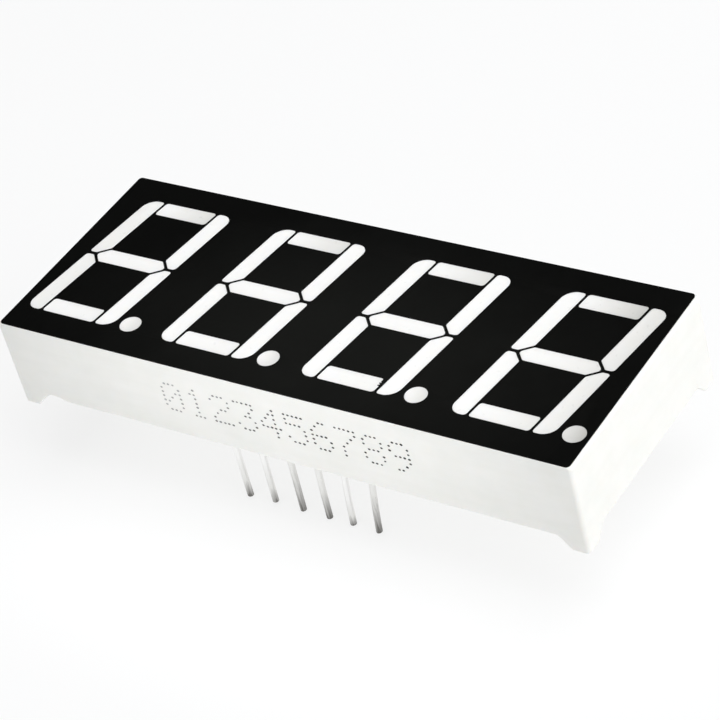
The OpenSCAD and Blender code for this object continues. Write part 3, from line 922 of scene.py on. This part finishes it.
def back_pour():
    """The resin poured over the board, which climbs a little at the walls and up each pin."""
    s = Shape()
    half_l, half_w = BODY_L / 2 - WALL, BODY_W / 2 - WALL
    roots = [pin_centre(p, RESIN_FACE) for p in PINS]

    def pour_z(x, y):
        wall = max(0.0, min(half_l - abs(x), half_w - abs(y)))
        up = WALL_CLIMB * math.exp(-wall / WALL_CLIMB_RUN)
        for c in roots:
            away = (Vector((x, y)) - c).length - PIN_D / 2
            if away < PIN_CLIMB_END:
                up += PIN_CLIMB * math.exp(-max(0.0, away) / PIN_CLIMB_RUN)
        return RESIN_FACE - up + SURFACE_VARIES * wobble(x * SURFACE_SCALE, y * SURFACE_SCALE)

    edge = perimeter(half_l, half_w, POCKET_R)
    board = perimeter(half_l - BOARD_GAP, half_w - BOARD_GAP, BOARD_R)
    outside = [s.ring(edge, pour_z), s.ring(edge, BOARD_TOP)]
    outside += [s.ring(board, BOARD_TOP), s.ring(board, BOARD_BOTTOM)]
    s.bridge(*outside)
    mouths, hoods = [], []
    lap = [Vector(n) for n in circle(JOINT_SIDES)]
    for p in PINS:
        rings = [s.ring([roots[p - 1] + n * PIN_D / 2 for n in lap], pour_z)]
        for z, r in JOINT_RINGS:
            rings.append(s.ring([pin_centre(p, z) + n * r for n in lap], z))
        s.bridge(*rings)
        mouths.append(rings[0])
        hoods.append(rings[-1])
    free = []
    for c in roots:
        for r, n in PIN_GRID:
            free += [c + Vector(at) * r for at in circle(n)]
    for inset, step in WALL_GRID:
        for side in (-1, 1):
            free += [Vector((-half_l + inset + step * (k + 0.5), side * (half_w - inset)))
                     for k in range(int(2 * (half_l - inset) / step))]
            free += [Vector((side * (half_l - inset), -half_w + inset + step * (k + 0.5)))
                     for k in range(int(2 * (half_w - inset) / step))]
    for row in range(int(2 * half_w / OPEN_STEP) + 1):
        for col in range(int(2 * half_l / OPEN_STEP) + 1):
            x = -half_l + OPEN_STEP * (col + 0.5 * (row % 2))
            p = Vector((x, -half_w + OPEN_STEP * (row + 0.5)))
            off_walls = abs(p.x) < half_l - WALL_MARGIN and abs(p.y) < half_w - WALL_MARGIN
            if off_walls and min((p - c).length for c in roots) > PIN_MARGIN:
                free.append(p)
    s.cap([outside[0]] + mouths, free, pour_z)
    s.cap([outside[-1]] + hoods)
    build(s, "back_resin_pour", BACK_RESIN, ["back_resin"])


back_pour()

# ---- What stays from the CAD ----

# The start of a node's name, and the look it gets.
KEPT = {
    "circuit_board": board_laminate(),
    "die_side_copper": metal("die_side_foil", (0.86, 0.84, 0.76), (0.93, 0.91, 0.84), 1.5, (0.25, 0.4)),
    "pin_side_copper": metal("pin_side_foil", (0.72, 0.42, 0.27), (0.86, 0.54, 0.36), 1.5, (0.25, 0.4)),
    "solder_joints": metal("solder", (0.60, 0.61, 0.62), (0.74, 0.75, 0.76), 2.5, (0.2, 0.35)),
    "led_dies": die_crystal(),
    "bond_wires": metal("gold_wire", (0.86, 0.62, 0.26), (0.98, 0.76, 0.38), 6.0, (0.15, 0.25)),
}
for name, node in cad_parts.items():
    for start, finish in KEPT.items():
        if name.startswith(start):
            node.data.materials.clear()
            node.data.materials.append(finish)

# ---- Floor, light and camera ----

FLOOR_HALF, FLOOR_Z = 4, -PIN_DROP * MM
floor_corners = [(x * FLOOR_HALF, y * FLOOR_HALF, FLOOR_Z) for x, y in ((-1, -1), (1, -1), (1, 1), (-1, 1))]
floor_mesh = bpy.data.meshes.new("floor")
floor_mesh.from_pydata(floor_corners, [], [(0, 1, 2, 3)])
floor = bpy.data.objects.new("floor", floor_mesh)
bpy.context.scene.collection.objects.link(floor)
paper = bpy.data.materials.new("white_paper")
paper.use_nodes = True
floor_mesh.materials.append(paper)
tree = paper.node_tree
shader = tree.nodes["Principled BSDF"]
shader.inputs["Base Color"].default_value = (0.22, 0.223, 0.225, 1)
shader.inputs["Roughness"].default_value = 0.8
shader.inputs["Specular IOR Level"].default_value = 0.0
shader.inputs["Emission Color"].default_value = (1, 1, 1, 1)
shader.inputs["Emission Strength"].default_value = 0.743
# Seen from below, the floor is clear, so that the underside can be looked at.
clear = tree.nodes.new("ShaderNodeBsdfTransparent")
sides = tree.nodes.new("ShaderNodeNewGeometry")
mix = tree.nodes.new("ShaderNodeMixShader")
tree.links.new(sides.outputs["Backfacing"], mix.inputs["Fac"])
tree.links.new(shader.outputs["BSDF"], mix.inputs[1])
tree.links.new(clear.outputs["BSDF"], mix.inputs[2])
tree.links.new(mix.outputs["Shader"], tree.nodes["Material Output"].inputs["Surface"])

# The room is pale, and dim only round DIM_WAY, which the face mirrors towards the camera.
DIM_WAY = (-0.53, 0.58, 0.62)
world = bpy.data.worlds.new("studio")
bpy.context.scene.world = world
world.use_nodes = True
tree = world.node_tree
way = tree.nodes.new("ShaderNodeTexCoord")
towards = tree.nodes.new("ShaderNodeVectorMath")
towards.operation = "DOT_PRODUCT"
towards.inputs[1].default_value = DIM_WAY
fade = tree.nodes.new("ShaderNodeMapRange")
fade.interpolation_type = "SMOOTHSTEP"
for socket, value in (("From Min", 0.25), ("From Max", 0.85), ("To Min", 0.38), ("To Max", 0.12)):
    fade.inputs[socket].default_value = value
tree.links.new(way.outputs["Generated"], towards.inputs[0])
tree.links.new(towards.outputs["Value"], fade.inputs["Value"])
tree.links.new(fade.outputs["Result"], tree.nodes["Background"].inputs["Strength"])
tree.nodes["Background"].inputs["Color"].default_value = (1, 1, 1, 1)


def softbox(name, place, size, power):
    """A panel of light that faces the part and that the camera doesn't see."""
    lamp = bpy.data.lights.new(name, "AREA")
    lamp.shape, lamp.size, lamp.size_y, lamp.energy = "RECTANGLE", size[0], size[1], power
    stand = bpy.data.objects.new(name, lamp)
    stand.location = place
    stand.visible_camera = False
    stand.rotation_mode = "QUATERNION"
    stand.rotation_quaternion = (-Vector(place)).to_track_quat("-Z", "Y")
    bpy.context.scene.collection.objects.link(stand)


softbox("right_softbox", (0.55, -0.05, 0.35), (0.4, 0.4), 1.66)
softbox("top_softbox", (0.15, 0.08, 0.55), (0.5, 0.5), 2.54)
softbox("front_softbox", (0.0, -0.14, 0.10), (0.08, 0.06), 0.006)
softbox("strip_softbox", (0.0005, -0.0225, 0.0095), (0.04, 0.006), 0.0012)

# The camera's place, the point it looks at and its roll in degrees, as fitted to the photo.
EYE, AIM, ROLL = Vector((0.10618, -0.11569, 0.12683)), Vector((-0.0018, 0.00316, -0.00007)), -15.75
lens = bpy.data.cameras.new("camera")
lens.lens, lens.sensor_width = 134.88, 36
lens.clip_start, lens.clip_end = 0.01, 20
camera = bpy.data.objects.new("camera", lens)
bpy.context.scene.collection.objects.link(camera)
camera.location = EYE
camera.rotation_mode = "QUATERNION"
turn = Quaternion((0, 0, 1), math.radians(ROLL))
camera.rotation_quaternion = (AIM - EYE).to_track_quat("-Z", "Y") @ turn
bpy.context.scene.camera = camera
bpy.context.scene.view_settings.view_transform = "Standard"
